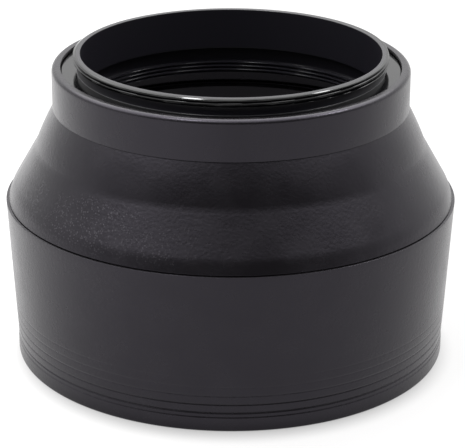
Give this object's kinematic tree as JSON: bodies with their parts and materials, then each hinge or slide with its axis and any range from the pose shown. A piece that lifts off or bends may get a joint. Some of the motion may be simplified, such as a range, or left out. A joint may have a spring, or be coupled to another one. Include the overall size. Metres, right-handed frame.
{
  "type": "lens hood",
  "caption": "Collapsible rubber lens hood: a threaded metal ring clamps a rubber sleeve whose conical folds turn inside out to shorten it.",
  "frame": {"origin": "centre of the mouth rim, on the plane that the hood stands on", "axes": "+Z along the optical axis, from the mouth to the mount thread, so +Z points at the camera; X and Y are free"},
  "size_m": [0.0842, 0.0842, 0.0576],
  "materials": {
    "moulded_rubber": "matt moulded black rubber",
    "black_anodised_aluminium": "turned, satin black anodised"
  },
  "bodies": {
    "mount": {"mount_ring": "black_anodised_aluminium", "clamp_ring": "black_anodised_aluminium", "rear_collar": "moulded_rubber", "rear_fold": "moulded_rubber"},
    "middle": {"middle_rib": "moulded_rubber", "front_fold": "moulded_rubber"},
    "front": {"front_barrel": "moulded_rubber"}
  },
  "joints": [
    {"name": "rear_fold_travel", "type": "slide", "parent": "mount", "child": "middle", "axis": [0, 0, 1], "range_m": [0, 0.0138], "deforming": ["rear_fold"]},
    {"name": "front_fold_travel", "type": "slide", "parent": "middle", "child": "front", "axis": [0, 0, 1], "range_m": [0, 0.0168], "deforming": ["front_fold"]}
  ]
}
